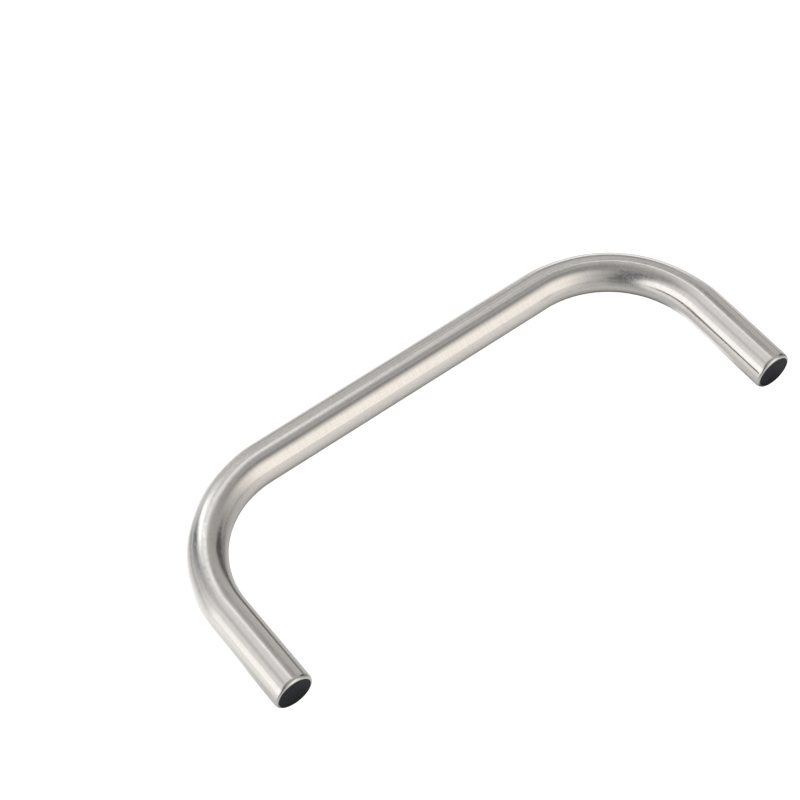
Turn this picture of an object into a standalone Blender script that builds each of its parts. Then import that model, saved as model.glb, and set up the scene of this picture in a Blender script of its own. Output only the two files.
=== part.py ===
"""A boat's grab rail: one U-bent stainless steel tube whose rolled-in ends are closed by ribbed plugs.

The rail lies flat. X runs along the bar, both ends face -Y, and Z = 0 is the surface that it lies on.
The origin is the middle of the bottom of its bounding box.
"""

import math

import bmesh
import bpy
from mathutils import Matrix, Vector

MM = 0.001

# Tube and bends
TUBE_D = 25.0 * MM
WALL = 1.5 * MM
SPAN = 350.0 * MM  # between the centrelines of the two legs
REACH = 134.0 * MM  # from the end faces to the bar's centreline
BEND_R = 72.0 * MM  # of the centreline
BEND_FLATTENING = 0.8 * MM  # how far bending pulls the outer wall in
FLATTENING_ONSET = 0.2  # share of a bend over which the section goes from round to flattened

# Rolled-in tube ends
NOSE_LENGTH = 2.6 * MM  # along the tube
LIP_WIDTH = 0.35 * MM  # flat ring that is left round the mouth
MOUTH_D = 21.2 * MM
MOUTH_LAND = 0.5 * MM  # straight stretch of the mouth before the bore opens out

# End plugs
PLUG_GAP = 0.3 * MM  # between plug and tube, all round
HEAD_THICKNESS = 1.8 * MM
HEAD_EDGE = 0.4 * MM  # rounding of the head's rim
SHANK_D = 17.6 * MM
SHANK_TIP_D = 16.4 * MM
SHANK_WALL = 1.5 * MM
PLUG_LENGTH = 16.0 * MM
FIN_COUNT = 4
FIN_START = 3.4 * MM  # behind the rolled-in mouth, so that the fins catch on it
FIN_PITCH = 2.9 * MM
FIN_RIM = 0.5 * MM  # thickness of a fin at its rim
FIN_SLOPE = 0.6 * MM  # how much thicker it is at the shank, on each side

# Fineness of the round surfaces
TUBE_SIDES = 32
PLUG_SIDES = 24
BEND_STEPS = 18
NOSE_STEPS = 5
EDGE_STEPS = 3
SMOOTH_ANGLE = math.radians(30)

# Sizes that follow from those above
TUBE_R = TUBE_D / 2
BORE_R = TUBE_R - WALL
MOUTH_R = MOUTH_D / 2
HEAD_R = MOUTH_R - PLUG_GAP
FIN_R = BORE_R - PLUG_GAP
LEG = REACH - BEND_R
BAR = SPAN - 2 * BEND_R
BEND_LENGTH = BEND_R * math.pi / 2
TUBE_LENGTH = 2 * LEG + 2 * BEND_LENGTH + BAR
END_Y = -(REACH + TUBE_R) / 2
AXIS_Z = TUBE_R


def flattening_at(distance):
    """How far the outer wall is pulled in, at this distance along the centreline from the left end."""
    from_left_end = min(distance, TUBE_LENGTH - distance)
    share = (from_left_end - LEG) / BEND_LENGTH
    depth = min(share, 1 - share) / FLATTENING_ONSET
    depth = max(0.0, min(1.0, depth))
    return BEND_FLATTENING * depth * depth * (3 - 2 * depth)


def centreline(distance):
    """The point on the tube's centreline at this distance from the left end, and its heading from +X."""
    if distance > TUBE_LENGTH / 2:
        point, heading = centreline(TUBE_LENGTH - distance)
        return Vector((-point.x, point.y, point.z)), -heading
    if distance <= LEG:
        return Vector((-SPAN / 2, END_Y + distance, AXIS_Z)), math.pi / 2
    if distance <= LEG + BEND_LENGTH:
        heading = math.pi / 2 - (distance - LEG) / BEND_R
        middle = Vector((-SPAN / 2 + BEND_R, END_Y + LEG, AXIS_Z))
        outward = Vector((-math.sin(heading), math.cos(heading), 0))
        return middle + outward * BEND_R, heading
    return Vector((-BAR / 2 + distance - LEG - BEND_LENGTH, END_Y + REACH, AXIS_Z)), 0.0


def tube_ring(mesh, distance, radius):
    """One section of the tube, as a loop of vertices. The half on the bend's outer side is flattened."""
    middle, heading = centreline(distance)
    outward = Vector((-math.sin(heading), math.cos(heading), 0))
    pulled_in = flattening_at(distance)
    ring = []
    for side in range(TUBE_SIDES):
        angle = math.tau * side / TUBE_SIDES
        out = radius * math.cos(angle) - pulled_in * (1 + math.cos(angle)) / 2
        up = Vector((0, 0, radius * math.sin(angle)))
        ring.append(mesh.verts.new(middle + outward * out + up))
    return ring


def plug_ring(mesh, depth, radius):
    """One section of a plug, at this depth behind its face. A plug points along its own +Z."""
    shift = Matrix.Translation((0, 0, depth))
    made = bmesh.ops.create_circle(mesh, segments=PLUG_SIDES, radius=radius, matrix=shift)
    return made["verts"]


def skin(mesh, rings):
    """Joins each ring to the next with a band of quads."""
    for ring, following in zip(rings, rings[1:]):
        for side in range(len(ring)):
            mesh.faces.new((ring[side - 1], following[side - 1], following[side], ring[side]))


def quarter(start, end, steps, bulge_first):
    """Points of a quarter ellipse between two (along, radius) points, both included.

    With bulge_first the curve leaves start along the radius, and otherwise along the tube.
    """
    points = []
    for step in range(steps + 1):
        angle = math.pi / 2 * step / steps
        quick, slow = math.sin(angle), 1 - math.cos(angle)
        along, across = (slow, quick) if bulge_first else (quick, slow)
        points.append((start[0] + (end[0] - start[0]) * along, start[1] + (end[1] - start[1]) * across))
    return points


def length_stations():
    """Distances along the tube, between its two noses, where its skin needs a ring."""
    first_bend = [LEG + BEND_LENGTH * step / BEND_STEPS for step in range(BEND_STEPS + 1)]
    second_bend = [TUBE_LENGTH - distance for distance in reversed(first_bend)]
    return first_bend + second_bend


def tube_section_line():
    """(distance, radius) all the way round the tube's wall: out along the outside, back along the bore."""
    lip_edge = (0.0, MOUTH_R + LIP_WIDTH)
    outside = quarter(lip_edge, (NOSE_LENGTH, TUBE_R), NOSE_STEPS, bulge_first=True)
    inside = [(0.0, MOUTH_R)]
    inside += quarter((MOUTH_LAND, MOUTH_R), (NOSE_LENGTH, BORE_R), EDGE_STEPS, bulge_first=False)
    line = outside + [(distance, TUBE_R) for distance in length_stations()]
    line += [(TUBE_LENGTH - distance, radius) for distance, radius in reversed(outside)]
    line += [(TUBE_LENGTH - distance, radius) for distance, radius in inside]
    line += [(distance, BORE_R) for distance in reversed(length_stations())]
    return line + list(reversed(inside))


def plug_section_line():
    """(depth, radius) of a plug, from the edge of its face over the fins and up into its hollow shank."""
    line = quarter((0.0, HEAD_R - HEAD_EDGE), (HEAD_EDGE, HEAD_R), EDGE_STEPS, bulge_first=True)
    line += [(HEAD_THICKNESS, HEAD_R), (HEAD_THICKNESS, SHANK_D / 2)]
    for fin in range(FIN_COUNT):
        depth = FIN_START + fin * FIN_PITCH
        line.append((depth - FIN_SLOPE, SHANK_D / 2))
        line.append((depth, FIN_R))
        line.append((depth + FIN_RIM, FIN_R))
        line.append((depth + FIN_RIM + FIN_SLOPE, SHANK_D / 2))
    line.append((PLUG_LENGTH, SHANK_TIP_D / 2))
    line.append((PLUG_LENGTH, SHANK_TIP_D / 2 - SHANK_WALL))
    line.append((HEAD_THICKNESS, SHANK_D / 2 - SHANK_WALL))
    return line


def finish_mesh(mesh, name):
    """Turns a bmesh into mesh data with its faces pointing out and its round surfaces shaded smooth."""
    bmesh.ops.recalc_face_normals(mesh, faces=mesh.faces)
    data = bpy.data.meshes.new(name)
    mesh.to_mesh(data)
    mesh.free()
    data.shade_smooth()
    data.set_sharp_from_angle(angle=SMOOTH_ANGLE)
    return data


def tube_mesh():
    mesh = bmesh.new()
    rings = [tube_ring(mesh, distance, radius) for distance, radius in tube_section_line()]
    skin(mesh, rings + rings[:1])
    return finish_mesh(mesh, "rail_tube")


def plug_mesh():
    mesh = bmesh.new()
    rings = [plug_ring(mesh, depth, radius) for depth, radius in plug_section_line()]
    skin(mesh, rings)
    mesh.faces.new(rings[0])
    mesh.faces.new(rings[-1])
    return finish_mesh(mesh, "end_plug")


def material(name, colour, metallic, roughness):
    made = bpy.data.materials.new(name)
    made.use_nodes = True
    shader = made.node_tree.nodes["Principled BSDF"]
    shader.inputs["Base Color"].default_value = (*colour, 1.0)
    shader.inputs["Metallic"].default_value = metallic
    shader.inputs["Roughness"].default_value = roughness
    return made


def place(name, data, finish, location=(0, 0, 0), rotation=(0, 0, 0)):
    """Adds one named piece to the scene, with its own material."""
    piece = bpy.data.objects.new(name, data)
    piece.location = location
    piece.rotation_euler = rotation
    bpy.context.scene.collection.objects.link(piece)
    piece.material_slots[0].link = "OBJECT"
    piece.material_slots[0].material = finish
    return piece


def build_tube():
    steel = material("satin_stainless", (0.66, 0.64, 0.61), metallic=1.0, roughness=0.26)
    data = tube_mesh()
    data.materials.append(steel)
    place("rail_tube", data, steel)


def build_plugs():
    """Both plugs share one mesh. Each looks along -Y out of its leg, flush with the tube's lip."""
    data = plug_mesh()
    data.materials.append(None)
    into_the_tube = (-math.pi / 2, 0, 0)
    for name, side in (("left_end_plug", -1), ("right_end_plug", 1)):
        plastic = material(name + "_plastic", (0.022, 0.023, 0.027), metallic=0.0, roughness=0.55)
        place(name, data, plastic, (side * SPAN / 2, END_Y, AXIS_Z), into_the_tube)


def main():
    for leftover in list(bpy.data.objects):
        bpy.data.objects.remove(leftover)
    build_tube()
    build_plugs()


main()
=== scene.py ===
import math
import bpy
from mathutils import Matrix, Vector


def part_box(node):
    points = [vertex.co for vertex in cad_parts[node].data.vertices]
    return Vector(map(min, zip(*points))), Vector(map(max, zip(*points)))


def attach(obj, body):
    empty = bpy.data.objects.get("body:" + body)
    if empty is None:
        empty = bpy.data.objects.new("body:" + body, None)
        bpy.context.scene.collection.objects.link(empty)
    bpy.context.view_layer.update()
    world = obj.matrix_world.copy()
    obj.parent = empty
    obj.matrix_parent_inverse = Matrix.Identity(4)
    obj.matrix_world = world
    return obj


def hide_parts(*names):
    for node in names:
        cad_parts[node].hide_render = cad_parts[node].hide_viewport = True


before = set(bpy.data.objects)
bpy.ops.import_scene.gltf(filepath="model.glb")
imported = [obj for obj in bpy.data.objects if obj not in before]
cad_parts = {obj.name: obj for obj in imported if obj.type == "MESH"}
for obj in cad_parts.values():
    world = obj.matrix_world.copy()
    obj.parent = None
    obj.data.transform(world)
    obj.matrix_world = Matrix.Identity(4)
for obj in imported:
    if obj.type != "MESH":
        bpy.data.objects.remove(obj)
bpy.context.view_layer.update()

# The looks of a grab rail: a bent satin stainless tube with a black plug in each end.
# X runs along the bar, both ends face -Y, and Z = 0 is the floor that the rail lies on.

from types import SimpleNamespace

import bmesh
import bpy
from mathutils import Matrix, Vector

MM = 0.001

# Sizes that the CAD model's boxes give
tube_low, tube_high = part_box("rail_tube")
plug_low, plug_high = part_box("left_end_plug")
TUBE_R = (tube_high.z - tube_low.z) / 2
AXIS_Z = (tube_high.z + tube_low.z) / 2
END_Y = tube_low.y
LEG_X = tube_high.x - TUBE_R
REACH = tube_high.y - TUBE_R - END_Y
PLUG_LENGTH = plug_high.y - plug_low.y
FIN_R = (plug_high.z - plug_low.z) / 2

# Tube and bends, as in the CAD model
WALL = 1.5 * MM
BORE_R = TUBE_R - WALL
POLISHED_R = 12.0 * MM  # beyond this radius the surface is the polished skin
BEND_R = 72.0 * MM
BEND_FLATTENING = 0.8 * MM  # how far bending pulls the outer wall in
FLATTENING_ONSET = 0.2  # share of a bend over which the section goes from round to flattened
LEG = REACH - BEND_R
BAR = 2 * (LEG_X - BEND_R)
BEND_LENGTH = BEND_R * math.pi / 2
TUBE_LENGTH = 2 * LEG + 2 * BEND_LENGTH + BAR

# Long shallow waves in the polished skin
STRAIGHT_WAVE = 0.001 * MM  # depth on the straight stretches
BEND_WAVE = 0.012 * MM  # depth in the bends
WAVES = (
    # mm of tube per radian, turns of the wave round the tube, phase, weight
    (17, 2, 0.0, 1.0),
    (29, -3, 1.3, 1.0),
    (9, 5, 0.7, 0.6),
)

# Rolled-in ends
NOSE_LENGTH = 2.6 * MM  # along the tube
LIP_WIDTH = 0.35 * MM  # flat ring that is left round the mouth
MOUTH_R = 10.6 * MM
MOUTH_LAND = 0.5 * MM  # straight stretch of the mouth before the bore opens out

# Plugs
PLUG_GAP = 0.3 * MM  # between plug and tube, all round
HEAD_R = MOUTH_R - PLUG_GAP
HEAD_THICKNESS = 1.8 * MM
HEAD_EDGE = 0.4 * MM  # rounding of the head's rim
FACE_DEPTH = 0.03 * MM  # of the face's middle behind the tube's lip
FACE_EDGE_DEPTH = 0.06 * MM
FACE_RINGS = (0.25, 0.5, 0.7)  # shares of the head's radius
SHANK_R = 8.8 * MM
SHANK_TIP_R = 8.2 * MM
SHANK_WALL = 1.5 * MM
FIN_COUNT = 4
FIN_START = 3.4 * MM
FIN_PITCH = 2.9 * MM
FIN_RIM = 0.5 * MM  # thickness of a fin at its rim
FIN_SLOPE = 0.6 * MM  # how much thicker it is at the shank, on each side

# Fineness of the meshes
TUBE_SIDES = 96
STATION_STEP = 1.6 * MM
BORE_STRIDE = 4  # the bore has a ring at every fourth station
NOSE_STEPS = 14
EDGE_STEPS = 6
PLUG_SIDES = 96
SMOOTH_ANGLE = math.radians(28)

# The tube's own map: U runs along its skin, V round it from the bottom
UV_MAP = "length_and_round"
UV_UNIT = 100  # mm of skin to a unit of the map

# Noises that the steel's finish is made up of: mm along the tube, mm round it, detail, seed
PATTERNS = {
    "rings": (0.9, 9, 3.0, 0.0),
    "fine_rings": (0.35, 3, 2.0, 1.7),
    "draw_lines": (260, 0.7, 2.0, 5.3),
    "clouds": (16, 9, 3.0, 2.2),
    "mottle": (2.6, 1.6, 3.0, 4.4),
    "pits": (0.8, 0.7, 1.0, 7.9),
    "tooth_patches": (14, 8, 2.0, 3.1),
}
BEND_START_FADE = 9  # mm to each side of a bend's start, over which its wear sets in
BEND_END_FADE = 12  # and of its end at the bar, over which it ceases

# Steel's colour: a tone of -0.5 is dull, 0.5 is bright
STEEL_DULL = (0.53, 0.517, 0.501, 1)
STEEL_BRIGHT = (0.64, 0.626, 0.608, 1)
STEEL_TOOTH = (0.27, 0.262, 0.25, 1)
TONES = {"rings": 0.20, "fine_rings": 0.10, "clouds": 0.15, "mottle": 0.15}
DRAW_LINE_TONE = -0.5
PIT_TONE = -0.7
TOOTH_TONE = 0.62  # share of the tooth colour in the darkest tooth

# Steel's gloss
STEEL_ANISOTROPY = 0.75
STEEL_ROUGHNESS = (0.11, 0.17)  # varies with the clouds
MOTTLE_ROUGHNESS = 0.03
BEND_ROUGHNESS = 0.05
RING_ROUGHNESS = 0.02

# Heights on the steel, in mm
RING_HEIGHT = 0.0006
DRAW_LINE_HEIGHT = -0.003
PIT_HEIGHT = -0.004
MOTTLE_HEIGHT = (0.0015, 0.0045)  # on the straight stretches, in the bends
TOOTH_HEIGHT = 0.02

# Marks that the bending tool leaves, in mm of the skin
TOOTH_PITCH = 1.8
TOOTH_ROW = 56.7  # round the tube from its bottom
TOOTH_WIDTH = 2.0
TOOTH_FADE = 0.8  # to each side of the row's edges

# Plastic
PLASTIC_DARK = (0.015, 0.017, 0.024, 1)
PLASTIC_LIGHT = (0.019, 0.021, 0.029, 1)
PLASTIC_ROUGHNESS = (0.55, 0.65)
PLASTIC_SPECULAR = 0.2
PLASTIC_GRAIN = 2600  # to the metre
PLASTIC_CLOUDS = 160  # to the metre
GRAIN_DEPTH = 0.02 * MM

# Camera, at the photograph's viewing angle
CAMERA_PLACE = Vector((-0.4759, -0.5937, 1.1144))
CAMERA_AIM = Vector((-0.0120, 0.0469, 0.0125))
CAMERA_ROLL = math.radians(-1.71)
CAMERA_LENS = 103.5
CAMERA_SENSOR = 36

# Far panels and gaps, painted one over another: azimuth, elevation, width, height, softness of the sides,
# softness of the ends, roll (all in degrees; positive roll tilts the top towards lower azimuth), brightness,
# warmth
PANELS = {
    "front_glow": (-71, 12, 98, 98, 31, 14, -9, 0.70, 1.07),
    "right_shade": (-1, 31, 34, 78, 41, 41, -15, 0.50, 1.06),
    "right_gap": (5, 3, 25, 50, 11, 11, 18, 0.12, 0.97),
    "front_softbox": (-72, 17, 42, 70, 36, 30, -10, 1.48, 1.13),
    "left_glow": (176, 5, 79, 91, 25, 25, 0, 1.08, 1.02),
    "left_high_glow": (147, 39, 28, 30, 14, 14, 0, 1.12, 1.02),
    "left_softbox": (178, 1, 57, 62, 8, 8, 0, 1.68, 1.05),
    "photographer": (-142, 31, 25, 60, 11, 11, 17, 0.20, 0.94),
    "back_high_glow": (98, 64, 58, 13, 14, 7, 0, 1.14, 1.02),
    "left_high_gap": (134, 53, 12, 16, 9, 9, 0, 0.82, 1.02),
    "back_backdrop": (48, -10, 34, 30, 7, 4, 0, 1.80, 0.98),
    "back_backdrop_edge": (50, 19, 28, 13, 8, 6, 0, 0.42, 1.00),
    "back_lamp_glow": (94, 20, 12, 56, 14, 14, 16, 1.10, 0.98),
    "back_lamp": (96, 33, 11, 27, 4, 6, 14, 2.50, 0.97),
    "back_lamp_strip": (72, 55.5, 36, 5.5, 4, 2, -33, 2.05, 1.00),
    "high_lamp": (48, 59.5, 17, 3.5, 6, 2, -20, 0.98, 1.00),
    "back_shade": (113, 24, 20, 36, 16, 16, -17, 0.48, 0.96),
    "back_gap": (109, 19, 8, 22, 5, 6, 14, 0.16, 0.90),
    "ceiling_gap": (-22, 68, 22, 12, 8, 5, 0, 0.40, 1.02),
    "ceiling_line": (-13, 70, 4, 14, 2, 4, 0, 0.80, 1.02),
    "high_edge": (38, 47, 3.6, 26, 1.5, 5, -27, 0.32, 1.03),
    "right_sheet_edge": (24, 1, 9, 6, 3, 3, 0, 0.48, 1.05),
    "back_sheet_edge": (70, 4, 9, 6, 3, 3, 0, 0.40, 1.02),
}

# Behind the panels, brightness of the room's two halves
DARK_SIDE = 0.43
LIGHT_SIDE = 0.74
LIGHT_SIDE_AZIMUTH = 73
SIDE_BLEND = (-0.08, 0.29)  # dot products with that azimuth between which the one turns into the other
ROOM_WARMTH = 1.05

# The sheet under the rail, in mm where nothing else is said
SHEET_REACH = 4.0  # m from its middle to its edges
SHEET_ALBEDO = 0.8
SHEET_ROUGHNESS = 0.9
SHEET_GLOSS_ROUGHNESS = 0.07
SHEET_GLOSS_POWER = 1.4  # the higher, the nearer to grazing the gloss sets in
# Painted light on the sheet, seen only by the rail: a glow away from it, pools of light outside it and a
# strip of light beside each leg
SHEET_GLOW = 0.28
SHEET_GLOW_TO_CAMERA = 0.85
# Painted shadow on the sheet, seen only by the rail: the sheet's colour near the rail
CONTACT_SHADOW_ALBEDO = 0.25
CONTACT_SHADE = (7, 14)  # clearances from the tube's centreline between which the painted shadow ends
GLOW_ONSET = (9, 21)  # and between which the painted glow begins
POOL_ONSET = (8, 18)  # and between which the painted pools of light outside the rail begin
POOLS = (
    # azimuth (degrees) in which the pool lies, where it starts and where it is full, glow
    (115, 35, 85, 0.42),
    (100, 25, 70, 0.36),
    (48, 138, 172, 1.00),
)
# Painted strip of light on the sheet beside each leg
LEG_POOL_BESIDE = (6, 9, 14, 22)  # beside a leg, on its left: starts, full, full, ends
LEG_POOL_ALONG = (-62, -26, -8, 14)  # Y: the same
LEG_POOL_GLOW = 0.85


# ---------------------------------------------------------------- shapes


def flattening_at(distance):
    """How far the outer wall is pulled in, at this distance along the centreline from the left end."""
    from_left_end = min(distance, TUBE_LENGTH - distance)
    share = (from_left_end - LEG) / BEND_LENGTH
    depth = min(share, 1 - share) / FLATTENING_ONSET
    depth = max(0.0, min(1.0, depth))
    return BEND_FLATTENING * depth * depth * (3 - 2 * depth)


def centreline(distance):
    """The point on the tube's centreline at this distance from the left end, and its heading from +X."""
    if distance > TUBE_LENGTH / 2:
        point, heading = centreline(TUBE_LENGTH - distance)
        return Vector((-point.x, point.y, point.z)), -heading
    if distance <= LEG:
        return Vector((-LEG_X, END_Y + distance, AXIS_Z)), math.pi / 2
    if distance <= LEG + BEND_LENGTH:
        heading = math.pi / 2 - (distance - LEG) / BEND_R
        middle = Vector((-LEG_X + BEND_R, END_Y + LEG, AXIS_Z))
        outward = Vector((-math.sin(heading), math.cos(heading), 0))
        return middle + outward * BEND_R, heading
    return Vector((-BAR / 2 + distance - LEG - BEND_LENGTH, END_Y + REACH, AXIS_Z)), 0.0


def bend_share(distance):
    """1 within a bend, 0 on the straight stretches, and between them a soft change."""
    into_bend = (min(distance, TUBE_LENGTH - distance) - LEG) / BEND_LENGTH
    depth = min(into_bend, 1 - into_bend) / FLATTENING_ONSET + 0.5
    depth = max(0.0, min(1.0, depth))
    return depth * depth * (3 - 2 * depth)


def unevenness(distance, angle):
    """How much the polished skin lies below a true tube. Never above it."""
    wave = 0.0
    highest = 0.0
    for length, turns, phase, weight in WAVES:
        wave += weight * math.sin(distance / MM / length + turns * angle + phase)
        highest += weight
    depth = STRAIGHT_WAVE + (BEND_WAVE - STRAIGHT_WAVE) * bend_share(distance)
    return depth * (highest - wave)


def tube_ring(mesh, distance, radius, is_skin):
    """One section of the tube, as a loop of vertices that starts at the bottom."""
    middle, heading = centreline(distance)
    outward = Vector((-math.sin(heading), math.cos(heading), 0))
    pulled_in = flattening_at(distance)
    ring = []
    for side in range(TUBE_SIDES):
        angle = math.tau * side / TUBE_SIDES - math.pi / 2
        reach = radius - (unevenness(distance, angle) if is_skin else 0)
        out = reach * math.cos(angle) - pulled_in * (1 + math.cos(angle)) / 2
        up = Vector((0, 0, reach * math.sin(angle)))
        ring.append(mesh.verts.new(middle + outward * out + up))
    return ring


def skin(mesh, rings, lengths, uv_layer):
    """Joins each ring to the next with a band of quads. U is the length along the skin, V goes round it."""
    around = math.tau * TUBE_R
    for (ring, start), (following, end) in zip(zip(rings, lengths), zip(rings[1:], lengths[1:])):
        count = len(ring)
        for side in range(count):
            after = (side + 1) % count
            face = mesh.faces.new((ring[side], following[side], following[after], ring[after]))
            low, high = around * side / count, around * (side + 1) / count
            corners = ((start, low), (end, low), (end, high), (start, high))
            for loop, (u, v) in zip(face.loops, corners):
                loop[uv_layer].uv = (u / MM / UV_UNIT, v / MM / UV_UNIT)


def quarter(start, end, steps, bulge_first):
    """Points of a quarter ellipse between two (along, radius) points, both included.

    With bulge_first the curve leaves start along the radius, and otherwise along the tube.
    """
    points = []
    for step in range(steps + 1):
        angle = math.pi / 2 * step / steps
        quick, slow = math.sin(angle), 1 - math.cos(angle)
        along, across = (slow, quick) if bulge_first else (quick, slow)
        points.append((start[0] + (end[0] - start[0]) * along, start[1] + (end[1] - start[1]) * across))
    return points


def length_stations():
    """Evenly spaced distances along the tube, between its two noses."""
    first, last = NOSE_LENGTH, TUBE_LENGTH - NOSE_LENGTH
    count = round((last - first) / STATION_STEP)
    return [first + (last - first) * step / count for step in range(1, count)]


def tube_section_line():
    """(distance, radius) all the way round the tube's wall: out along the outside, back along the bore."""
    lip_edge = (0.0, MOUTH_R + LIP_WIDTH)
    outside = quarter(lip_edge, (NOSE_LENGTH, TUBE_R), NOSE_STEPS, bulge_first=True)
    inside = [(0.0, MOUTH_R)]
    inside += quarter((MOUTH_LAND, MOUTH_R), (NOSE_LENGTH, BORE_R), EDGE_STEPS, bulge_first=False)
    stations = length_stations()
    line = outside + [(distance, TUBE_R) for distance in stations]
    line += [(TUBE_LENGTH - distance, radius) for distance, radius in reversed(outside)]
    line += [(TUBE_LENGTH - distance, radius) for distance, radius in inside]
    line += [(distance, BORE_R) for distance in reversed(stations[::BORE_STRIDE])]
    return line + list(reversed(inside))


def running_lengths(line):
    """How far along the section line each of its points is."""
    lengths = [0.0]
    for (d0, r0), (d1, r1) in zip(line, line[1:]):
        lengths.append(lengths[-1] + math.hypot(d1 - d0, r1 - r0))
    return lengths


def finish_mesh(mesh, name):
    """Turns a bmesh into mesh data with its faces pointing out and its round surfaces shaded smooth."""
    bmesh.ops.recalc_face_normals(mesh, faces=mesh.faces)
    data = bpy.data.meshes.new(name)
    mesh.to_mesh(data)
    mesh.free()
    data.shade_smooth()
    data.set_sharp_from_angle(angle=SMOOTH_ANGLE)
    return data


def tube_mesh():
    mesh = bmesh.new()
    uv_layer = mesh.loops.layers.uv.new(UV_MAP)
    line = tube_section_line()
    rings = [tube_ring(mesh, distance, radius, radius > POLISHED_R) for distance, radius in line]
    line.append(line[0])
    rings.append(rings[0])
    skin(mesh, rings, running_lengths(line), uv_layer)
    return finish_mesh(mesh, "tube_skin")


def plug_section_line():
    """(depth, radius) of a plug, from near the middle of its face over the fins into its hollow shank."""
    line = [(FACE_DEPTH, HEAD_R * share) for share in FACE_RINGS]
    edge = (FACE_EDGE_DEPTH, HEAD_R - HEAD_EDGE)
    line += quarter(edge, (HEAD_EDGE, HEAD_R), EDGE_STEPS, bulge_first=True)
    line += [(HEAD_THICKNESS, HEAD_R), (HEAD_THICKNESS, SHANK_R)]
    for fin in range(FIN_COUNT):
        depth = FIN_START + fin * FIN_PITCH
        line.append((depth - FIN_SLOPE, SHANK_R))
        line.append((depth, FIN_R))
        line.append((depth + FIN_RIM, FIN_R))
        line.append((depth + FIN_RIM + FIN_SLOPE, SHANK_R))
    line.append((PLUG_LENGTH, SHANK_TIP_R))
    line.append((PLUG_LENGTH, SHANK_TIP_R - SHANK_WALL))
    line.append((HEAD_THICKNESS, SHANK_R - SHANK_WALL))
    return line


def plug_mesh():
    mesh = bmesh.new()
    rings = []
    for depth, radius in plug_section_line():
        shift = Matrix.Translation((0, 0, depth))
        made = bmesh.ops.create_circle(mesh, segments=PLUG_SIDES, radius=radius, matrix=shift)
        rings.append(made["verts"])
    for ring, following in zip(rings, rings[1:]):
        for side in range(PLUG_SIDES):
            mesh.faces.new((ring[side - 1], following[side - 1], following[side], ring[side]))
    mesh.faces.new(rings[0])
    mesh.faces.new(rings[-1])
    return finish_mesh(mesh, "end_plug_shape")


# ---------------------------------------------------------------- nodes


def node(tree, kind, **settings):
    made = tree.nodes.new(kind)
    for name, value in settings.items():
        setattr(made, name, value)
    return made


def feed(tree, value, socket):
    """Links an output to a socket, or writes a plain value into it."""
    if isinstance(value, bpy.types.NodeSocket):
        tree.links.new(value, socket)
    else:
        socket.default_value = value


def maths(tree, operation, first, second=0.0, third=0.0):
    made = node(tree, "ShaderNodeMath", operation=operation)
    for value, socket in zip((first, second, third), made.inputs):
        feed(tree, value, socket)
    return made.outputs[0]


def vector_maths(tree, operation, first, second):
    made = node(tree, "ShaderNodeVectorMath", operation=operation)
    feed(tree, first, made.inputs[0])
    feed(tree, second, made.inputs[1])
    return made.outputs["Value"] if operation == "DOT_PRODUCT" else made.outputs["Vector"]


def hypotenuse(tree, x, y):
    """The length of the vector (x, y)."""
    vector = node(tree, "ShaderNodeCombineXYZ")
    feed(tree, x, vector.inputs[0])
    feed(tree, y, vector.inputs[1])
    length = node(tree, "ShaderNodeVectorMath", operation="LENGTH")
    feed(tree, vector.outputs[0], length.inputs[0])
    return length.outputs["Value"]


def remap(tree, value, from_low, from_high, to_low, to_high, smooth=False):
    """The value moved from one range to another, and held at the range's ends."""
    made = node(tree, "ShaderNodeMapRange", interpolation_type="SMOOTHSTEP" if smooth else "LINEAR")
    for index, number in enumerate((value, from_low, from_high, to_low, to_high)):
        feed(tree, number, made.inputs[index])
    return made.outputs[0]


def plateau(tree, value, rise, full, still_full, end):
    """0 before the rise, 1 between full and still_full, 0 after the end."""
    up = remap(tree, value, rise, full, 0.0, 1.0, smooth=True)
    down = remap(tree, value, still_full, end, 1.0, 0.0, smooth=True)
    return maths(tree, "MULTIPLY", up, down)


def mix_colour(tree, factor, first, second):
    made = node(tree, "ShaderNodeMix", data_type="RGBA")
    feed(tree, factor, made.inputs["Factor"])
    feed(tree, first, made.inputs[6])
    feed(tree, second, made.inputs[7])
    return made.outputs[2]


def mix_shader(tree, factor, first, second):
    made = node(tree, "ShaderNodeMixShader")
    feed(tree, factor, made.inputs[0])
    feed(tree, first.outputs[0], made.inputs[1])
    feed(tree, second.outputs[0], made.inputs[2])
    return made


def noise(tree, where, scale, detail, roughness):
    made = node(tree, "ShaderNodeTexNoise")
    feed(tree, where, made.inputs["Vector"])
    made.inputs["Scale"].default_value = scale
    made.inputs["Detail"].default_value = detail
    made.inputs["Roughness"].default_value = roughness
    return made.outputs["Fac"]


def spread(tree, noisy, low, high):
    """A noise, most of which lies between 0.3 and 0.7, spread between two numbers."""
    return remap(tree, noisy, 0.3, 0.7, low, high)


def bump(tree, height, strength, distance):
    made = node(tree, "ShaderNodeBump")
    made.inputs["Strength"].default_value = strength
    made.inputs["Distance"].default_value = distance
    feed(tree, height, made.inputs["Height"])
    return made.outputs["Normal"]


def new_material(name):
    made = bpy.data.materials.new(name)
    made.use_nodes = True
    return made, made.node_tree, made.node_tree.nodes["Principled BSDF"]


# ---------------------------------------------------------------- steel


def skin_map(tree):
    return node(tree, "ShaderNodeUVMap", uv_map=UV_MAP).outputs["UV"]


def skin_noise(tree, pattern):
    """One of the noises in PATTERNS, on the tube's skin."""
    long, wide, detail, seed = PATTERNS[pattern]
    shifted = vector_maths(tree, "ADD", skin_map(tree), (seed, seed, 0))
    stretched = node(tree, "ShaderNodeMapping")
    feed(tree, shifted, stretched.inputs["Vector"])
    stretched.inputs["Scale"].default_value = (UV_UNIT / long, UV_UNIT / wide, 1)
    return noise(tree, stretched.outputs["Vector"], 1.0, detail, 0.55)


def peaks(tree, pattern, low, high):
    """1 where one of the noises is above high, 0 where it is below low."""
    return remap(tree, skin_noise(tree, pattern), low, high, 0.0, 1.0)


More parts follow.
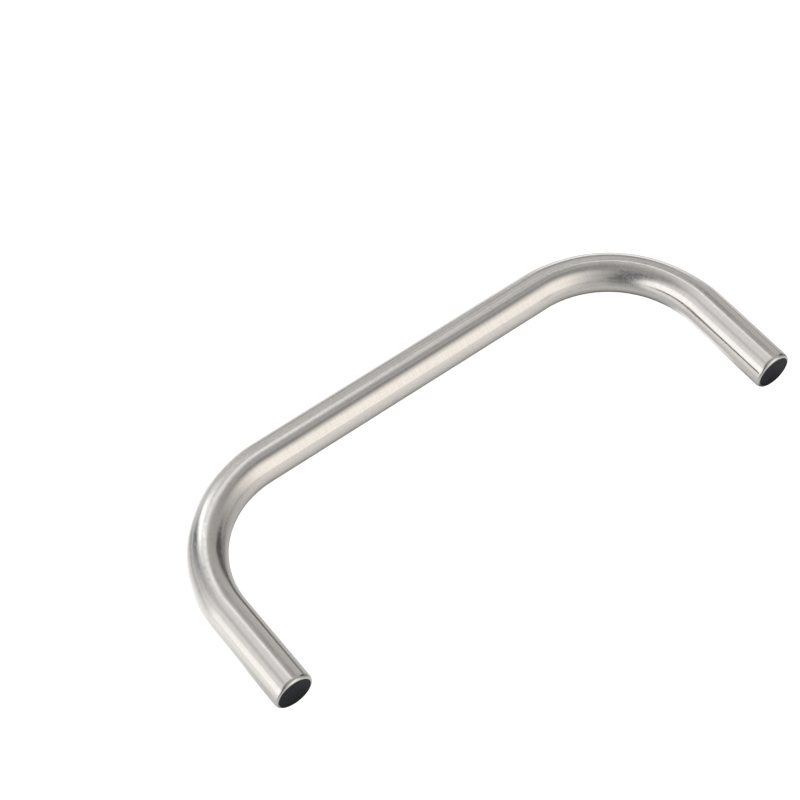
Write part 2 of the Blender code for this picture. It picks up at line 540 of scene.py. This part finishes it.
def skin_place(tree):
    """How far along the tube's skin, and how far round it, in mm."""
    split = node(tree, "ShaderNodeSeparateXYZ")
    feed(tree, skin_map(tree), split.inputs[0])
    along = maths(tree, "MULTIPLY", split.outputs["X"], UV_UNIT)
    round_ = maths(tree, "MULTIPLY", split.outputs["Y"], UV_UNIT)
    return along, round_


def within_bends(tree, along):
    """1 in the two bends, 0 on the straight stretches, from the length along the skin in mm."""
    start, end = LEG / MM, (LEG + BEND_LENGTH) / MM
    from_end = maths(tree, "MINIMUM", along, maths(tree, "SUBTRACT", TUBE_LENGTH / MM, along))
    rise, full = start - BEND_START_FADE, start + BEND_START_FADE
    return plateau(tree, from_end, rise, full, end - BEND_END_FADE, end + BEND_END_FADE)


def tool_marks(tree, along, round_, bends):
    """The row of fine teeth that the bending tool has left along the inner side of the second bend."""
    teeth = maths(tree, "SINE", maths(tree, "MULTIPLY", along, math.tau / TOOTH_PITCH))
    off = maths(tree, "ABSOLUTE", maths(tree, "SUBTRACT", round_, TOOTH_ROW))
    edge = TOOTH_WIDTH / 2
    row = remap(tree, off, edge - TOOTH_FADE, edge + TOOTH_FADE, 1.0, 0.0, smooth=True)
    patchy = remap(tree, skin_noise(tree, "tooth_patches"), 0.38, 0.50, 0.2, 1.0)
    second_bend = maths(tree, "GREATER_THAN", along, TUBE_LENGTH / 2 / MM)
    marked = maths(tree, "MULTIPLY", maths(tree, "MULTIPLY", patchy, bends), second_bend)
    return maths(tree, "MULTIPLY", maths(tree, "MULTIPLY", teeth, row), marked)


def steel_patterns(tree):
    """Everything that the finish is made up of, as numbers that vary over the skin."""
    along, round_ = skin_place(tree)
    bends = within_bends(tree, along)
    return SimpleNamespace(
        bends=bends,
        teeth=tool_marks(tree, along, round_, bends),
        rings=skin_noise(tree, "rings"),
        fine_rings=skin_noise(tree, "fine_rings"),
        draw_lines=peaks(tree, "draw_lines", 0.60, 0.72),
        clouds=skin_noise(tree, "clouds"),
        mottle=skin_noise(tree, "mottle"),
        pits=peaks(tree, "pits", 0.70, 0.78),
    )


def steel_colour(tree, patterns):
    tone = 0.0
    for pattern, amount in TONES.items():
        tone = maths(tree, "ADD", tone, spread(tree, getattr(patterns, pattern), -amount, amount))
    tone = maths(tree, "MULTIPLY_ADD", patterns.draw_lines, DRAW_LINE_TONE, tone)
    tone = maths(tree, "MULTIPLY_ADD", patterns.pits, PIT_TONE, tone)
    colour = mix_colour(tree, remap(tree, tone, -0.5, 0.5, 0.0, 1.0), STEEL_DULL, STEEL_BRIGHT)
    return mix_colour(tree, remap(tree, patterns.teeth, 0.0, 1.0, 0.0, TOOTH_TONE), colour, STEEL_TOOTH)


def steel_roughness(tree, patterns):
    blotches = remap(tree, patterns.mottle, 0.4, 0.65, 0.0, 1.0)
    worn = maths(tree, "MULTIPLY", patterns.bends, blotches)
    rough = remap(tree, patterns.clouds, 0.35, 0.65, *STEEL_ROUGHNESS)
    rough = maths(tree, "MULTIPLY_ADD", blotches, MOTTLE_ROUGHNESS, rough)
    rough = maths(tree, "MULTIPLY_ADD", worn, BEND_ROUGHNESS, rough)
    return maths(tree, "MULTIPLY_ADD", patterns.rings, RING_ROUGHNESS, rough)


def steel_height(tree, patterns):
    """Height of the skin in mm."""
    height = maths(tree, "MULTIPLY", patterns.rings, RING_HEIGHT)
    height = maths(tree, "MULTIPLY_ADD", patterns.draw_lines, DRAW_LINE_HEIGHT, height)
    height = maths(tree, "MULTIPLY_ADD", patterns.pits, PIT_HEIGHT, height)
    mottle_height = remap(tree, patterns.bends, 0.0, 1.0, *MOTTLE_HEIGHT)
    height = maths(tree, "MULTIPLY_ADD", patterns.mottle, mottle_height, height)
    return maths(tree, "MULTIPLY_ADD", patterns.teeth, TOOTH_HEIGHT, height)


def satin_stainless():
    """Tube polished by a belt that goes round it: fine rings, so reflections smear along the tube."""
    made, tree, shader = new_material("satin_stainless")
    patterns = steel_patterns(tree)
    shader.inputs["Metallic"].default_value = 1.0
    shader.inputs["Anisotropic"].default_value = STEEL_ANISOTROPY
    feed(tree, steel_colour(tree, patterns), shader.inputs["Base Color"])
    feed(tree, steel_roughness(tree, patterns), shader.inputs["Roughness"])
    feed(tree, bump(tree, steel_height(tree, patterns), 1.0, MM), shader.inputs["Normal"])
    along_tube = node(tree, "ShaderNodeTangent", direction_type="UV_MAP", uv_map=UV_MAP)
    feed(tree, along_tube.outputs["Tangent"], shader.inputs["Tangent"])
    return made


# ---------------------------------------------------------------- plastic


def black_plastic():
    """Moulded polyethylene: nearly black, a little blue, with a fine eroded grain."""
    made, tree, shader = new_material("black_plastic")
    here = node(tree, "ShaderNodeTexCoord").outputs["Object"]
    grain = noise(tree, here, PLASTIC_GRAIN, 2.0, 0.6)
    clouds = noise(tree, here, PLASTIC_CLOUDS, 2.0, 0.5)
    colour = mix_colour(tree, spread(tree, clouds, 0.0, 1.0), PLASTIC_DARK, PLASTIC_LIGHT)
    feed(tree, colour, shader.inputs["Base Color"])
    feed(tree, spread(tree, grain, *PLASTIC_ROUGHNESS), shader.inputs["Roughness"])
    shader.inputs["Specular IOR Level"].default_value = PLASTIC_SPECULAR
    feed(tree, bump(tree, grain, 0.3, GRAIN_DEPTH), shader.inputs["Normal"])
    return made


# ---------------------------------------------------------------- studio


def direction_of(azimuth, elevation):
    """A unit vector, from degrees round from +X towards +Y and degrees up from the floor."""
    round_, up = math.radians(azimuth), math.radians(elevation)
    return Vector((math.cos(up) * math.cos(round_), math.cos(up) * math.sin(round_), math.sin(up)))


def panel_mask(tree, look, azimuth, elevation, width, height, side_softness, end_softness, roll):
    """1 where a look direction meets a far panel, 0 beside it. All in degrees."""
    forward = direction_of(azimuth, elevation)
    right = Vector((-math.sin(math.radians(azimuth)), math.cos(math.radians(azimuth)), 0))
    up = forward.cross(-right)
    turn = Matrix.Rotation(math.radians(roll), 3, forward)
    right, up = turn @ right, turn @ up
    ahead = vector_maths(tree, "DOT_PRODUCT", look, forward)
    mask = maths(tree, "GREATER_THAN", ahead, 0.01)
    for axis, size, softness in ((right, width, side_softness), (up, height, end_softness)):
        beside = maths(tree, "ABSOLUTE", vector_maths(tree, "DOT_PRODUCT", look, axis))
        off = maths(tree, "DEGREES", maths(tree, "ARCTAN2", beside, ahead))
        edge = remap(tree, off, size / 2 - softness / 2, size / 2 + softness / 2, 1.0, 0.0, smooth=True)
        mask = maths(tree, "MULTIPLY", mask, edge)
    return mask


def tinted(brightness, warmth):
    """A colour of this brightness, with this ratio of red to blue."""
    return (brightness * warmth**0.42, brightness, brightness / warmth**0.58, 1)


def studio_colour(tree):
    """The room's light by direction: a light half and a dark half, and over them the panels."""
    look = node(tree, "ShaderNodeTexCoord").outputs["Generated"]
    lean = vector_maths(tree, "DOT_PRODUCT", look, direction_of(LIGHT_SIDE_AZIMUTH, 0))
    side = remap(tree, lean, *SIDE_BLEND, 0.0, 1.0, smooth=True)
    colour = mix_colour(tree, side, tinted(DARK_SIDE, ROOM_WARMTH), tinted(LIGHT_SIDE, ROOM_WARMTH))
    for *shape, brightness, warmth in PANELS.values():
        colour = mix_colour(tree, panel_mask(tree, look, *shape), colour, tinted(brightness, warmth))
    return colour


def studio_world():
    """The studio as the rail sees it. To the camera it is plain white."""
    world = bpy.data.worlds.new("studio")
    bpy.context.scene.world = world
    world.use_nodes = True
    tree = world.node_tree
    tree.nodes.clear()
    studio = node(tree, "ShaderNodeBackground")
    feed(tree, studio_colour(tree), studio.inputs["Color"])
    plain = node(tree, "ShaderNodeBackground")
    plain.inputs["Color"].default_value = (1, 1, 1, 1)
    seen = node(tree, "ShaderNodeLightPath").outputs["Is Camera Ray"]
    out = node(tree, "ShaderNodeOutputWorld")
    feed(tree, mix_shader(tree, seen, studio, plain).outputs[0], out.inputs[0])


# ---------------------------------------------------------------- sheet


def beyond_the_rail(tree, x, y):
    """How far a spot on the sheet is outside the rail's centreline, in mm, and inside it as a negative."""
    past_bar = maths(tree, "SUBTRACT", maths(tree, "ABSOLUTE", x), (LEG_X - BEND_R) / MM)
    past_legs = maths(tree, "SUBTRACT", y, (END_Y + LEG) / MM)
    past_bar = maths(tree, "MAXIMUM", past_bar, 0.0)
    past_legs = maths(tree, "MAXIMUM", past_legs, 0.0)
    return maths(tree, "SUBTRACT", hypotenuse(tree, past_bar, past_legs), BEND_R / MM)


def clearance(tree, beyond, y):
    """Distance in mm from the rail's centreline, also past its two ends."""
    past_ends = maths(tree, "MAXIMUM", maths(tree, "SUBTRACT", END_Y / MM, y), 0.0)
    return hypotenuse(tree, beyond, past_ends)


def beside_a_leg(tree, x):
    """How far a spot is to the left of the nearer leg, in mm. The legs are one span apart."""
    made = node(tree, "ShaderNodeMath", operation="WRAP")
    feed(tree, maths(tree, "SUBTRACT", LEG_X / MM, x), made.inputs[0])
    made.inputs[1].default_value = LEG_X / MM
    made.inputs[2].default_value = -LEG_X / MM
    return made.outputs[0]


def sheet_glow(tree, spot, x, y, beyond, away):
    """Painted light on the sheet, seen only by the rail, standing in for the light that the softboxes and
    the shiny rail throw on it.
    """
    glow = remap(tree, away, *GLOW_ONSET, 0.0, SHEET_GLOW, smooth=True)
    outside = remap(tree, beyond, *POOL_ONSET, 0.0, 1.0, smooth=True)
    for azimuth, start, full, strength in POOLS:
        along = vector_maths(tree, "DOT_PRODUCT", spot, direction_of(azimuth, 0))
        pool = remap(tree, along, start, full, 0.0, strength, smooth=True)
        glow = maths(tree, "MULTIPLY_ADD", pool, outside, glow)
    across = plateau(tree, beside_a_leg(tree, x), *LEG_POOL_BESIDE)
    strip = maths(tree, "MULTIPLY", across, plateau(tree, y, *LEG_POOL_ALONG))
    return maths(tree, "MULTIPLY_ADD", strip, LEG_POOL_GLOW, glow)


def matt_sheet(tree, shader, seen):
    """Paints light and shade on the sheet by how far each spot is from the rail, but not for the camera."""
    place = node(tree, "ShaderNodeTexCoord").outputs["Object"]
    spot = vector_maths(tree, "MULTIPLY", place, (1 / MM, 1 / MM, 1 / MM))
    split = node(tree, "ShaderNodeSeparateXYZ")
    feed(tree, spot, split.inputs[0])
    x, y = split.outputs["X"], split.outputs["Y"]
    beyond = beyond_the_rail(tree, x, y)
    away = clearance(tree, beyond, y)
    glow = sheet_glow(tree, spot, x, y, beyond, away)
    # Painted light: the rail sees the painted glow, the camera an even glow
    feed(tree, remap(tree, seen, 0.0, 1.0, glow, SHEET_GLOW_TO_CAMERA), shader.inputs["Emission Strength"])
    # Painted shadow: for all rays but the camera's, the sheet's colour is darkened near the rail
    shade = remap(tree, away, *CONTACT_SHADE, CONTACT_SHADOW_ALBEDO, SHEET_ALBEDO, smooth=True)
    albedo_and_painted_shadow = remap(tree, seen, 0.0, 1.0, shade, SHEET_ALBEDO)
    white = node(tree, "ShaderNodeCombineColor")
    for channel in white.inputs[:3]:
        feed(tree, albedo_and_painted_shadow, channel)
    feed(tree, white.outputs[0], shader.inputs["Base Color"])
    shader.inputs["Roughness"].default_value = SHEET_ROUGHNESS
    shader.inputs["Specular IOR Level"].default_value = 0.0
    shader.inputs["Emission Color"].default_value = (1, 1, 1, 1)


def white_sheet():
    """A plain white sheet. To the rail it is glossy, with painted shade under the rail and painted pools of
    light.
    """
    made, tree, shader = new_material("white_sheet")
    seen = node(tree, "ShaderNodeLightPath").outputs["Is Camera Ray"]
    matt_sheet(tree, shader, seen)
    gloss = node(tree, "ShaderNodeBsdfGlossy")
    gloss.inputs["Roughness"].default_value = SHEET_GLOSS_ROUGHNESS
    facing = node(tree, "ShaderNodeLayerWeight").outputs["Facing"]
    share = maths(tree, "POWER", facing, SHEET_GLOSS_POWER)
    share = maths(tree, "MULTIPLY", share, maths(tree, "SUBTRACT", 1.0, seen))
    both = mix_shader(tree, share, shader, gloss)
    feed(tree, both.outputs[0], tree.nodes["Material Output"].inputs["Surface"])
    return made


def floor():
    mesh = bmesh.new()
    bmesh.ops.create_grid(mesh, x_segments=1, y_segments=1, size=SHEET_REACH)
    data = bpy.data.meshes.new("floor")
    mesh.to_mesh(data)
    mesh.free()
    data.materials.append(white_sheet())
    plane = bpy.data.objects.new("floor", data)
    bpy.context.scene.collection.objects.link(plane)


# ---------------------------------------------------------------- camera


def camera():
    lens = bpy.data.cameras.new("camera")
    lens.lens = CAMERA_LENS
    lens.sensor_width = CAMERA_SENSOR
    lens.clip_end = 100
    made = bpy.data.objects.new("camera", lens)
    made.location = CAMERA_PLACE
    aim = (CAMERA_AIM - CAMERA_PLACE).to_track_quat("-Z", "Y").to_matrix()
    made.rotation_euler = (aim @ Matrix.Rotation(CAMERA_ROLL, 3, "Z")).to_euler()
    bpy.context.scene.collection.objects.link(made)
    bpy.context.scene.camera = made
    bpy.context.scene.view_settings.view_transform = "Standard"


# ---------------------------------------------------------------- pieces


def add_piece(name, data, finish, stands_for, matrix=Matrix.Identity(4)):
    data.materials.append(finish)
    piece = bpy.data.objects.new(name, data)
    piece.matrix_world = matrix
    bpy.context.scene.collection.objects.link(piece)
    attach(piece, "root")
    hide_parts(stands_for)


def build_rail():
    add_piece("rail_tube_polished", tube_mesh(), satin_stainless(), "rail_tube")
    plastic = black_plastic()
    into_the_tube = Matrix.Rotation(-math.pi / 2, 4, "X")
    for side, name in ((-1, "left_end_plug"), (1, "right_end_plug")):
        matrix = Matrix.Translation((side * LEG_X, END_Y, AXIS_Z)) @ into_the_tube
        add_piece(name + "_moulded", plug_mesh(), plastic, name, matrix)


camera()
studio_world()
floor()
build_rail()
